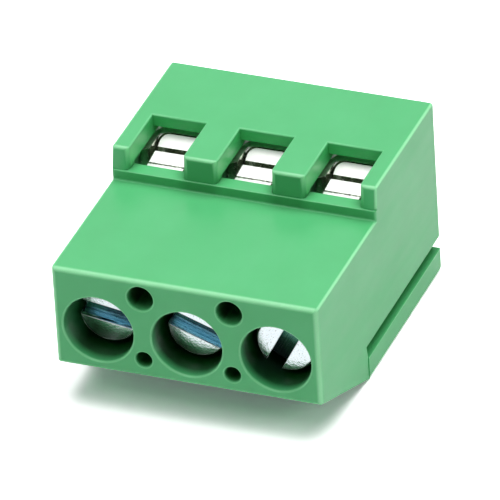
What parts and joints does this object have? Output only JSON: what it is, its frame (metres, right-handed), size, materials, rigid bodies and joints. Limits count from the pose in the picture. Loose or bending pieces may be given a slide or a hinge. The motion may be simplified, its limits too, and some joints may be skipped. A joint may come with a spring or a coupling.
{
  "type": "screw terminal block",
  "caption": "Board terminal block: stepped green housing with slotted clamp screws in round bores, wire windows, rising clamp sleeves and solder pins.",
  "frame": {"origin": "middle of the flat back face, on which the block lies", "axes": "+X along the poles, +Y from the screw face to the board face and along the pins, +Z from the back to the wire face"},
  "size_m": [0.0158, 0.0218, 0.0107],
  "materials": {
    "housing_green": "satin moulded polyamide",
    "screw_zinc": "bright zinc plating with a bluish tint",
    "sleeve_plating": "bright nickel plating on folded brass strip",
    "bar_plating": "bright tin plating on stamped brass"
  },
  "bodies": {
    "housing": {"housing": "housing_green", "current_bar_1": "bar_plating", "current_bar_2": "bar_plating", "current_bar_3": "bar_plating"},
    "screw_1": {"clamp_screw_1": "screw_zinc"},
    "screw_2": {"clamp_screw_2": "screw_zinc"},
    "screw_3": {"clamp_screw_3": "screw_zinc"},
    "sleeve_1": {"clamp_sleeve_1": "sleeve_plating"},
    "sleeve_2": {"clamp_sleeve_2": "sleeve_plating"},
    "sleeve_3": {"clamp_sleeve_3": "sleeve_plating"}
  },
  "joints": [
    {"name": "sleeve_1_slide", "type": "slide", "parent": "housing", "child": "sleeve_1", "axis": [0, 1, 0], "range_m": [-0.00064, 0.00119]},
    {"name": "screw_1_turn", "type": "hinge", "parent": "housing", "child": "screw_1", "pos_m": [-0.00508, 0, 0.00518], "axis": [0, 1, 0], "range_deg": [-953, 513]},
    {"name": "sleeve_2_slide", "type": "slide", "parent": "housing", "child": "sleeve_2", "axis": [0, 1, 0], "range_m": [-0.00064, 0.00119]},
    {"name": "screw_2_turn", "type": "hinge", "parent": "housing", "child": "screw_2", "pos_m": [0, 0, 0.00518], "axis": [0, 1, 0], "range_deg": [-953, 513]},
    {"name": "sleeve_3_slide", "type": "slide", "parent": "housing", "child": "sleeve_3", "axis": [0, 1, 0], "range_m": [-0.00064, 0.00119]},
    {"name": "screw_3_turn", "type": "hinge", "parent": "housing", "child": "screw_3", "pos_m": [0.00508, 0, 0.00518], "axis": [0, 1, 0], "range_deg": [-953, 513]}
  ],
  "couplings": [
    {"joint": "screw_1_turn", "follows": "sleeve_1_slide", "rad_per_m": -13963},
    {"joint": "screw_2_turn", "follows": "sleeve_2_slide", "rad_per_m": -13963},
    {"joint": "screw_3_turn", "follows": "sleeve_3_slide", "rad_per_m": -13963}
  ]
}
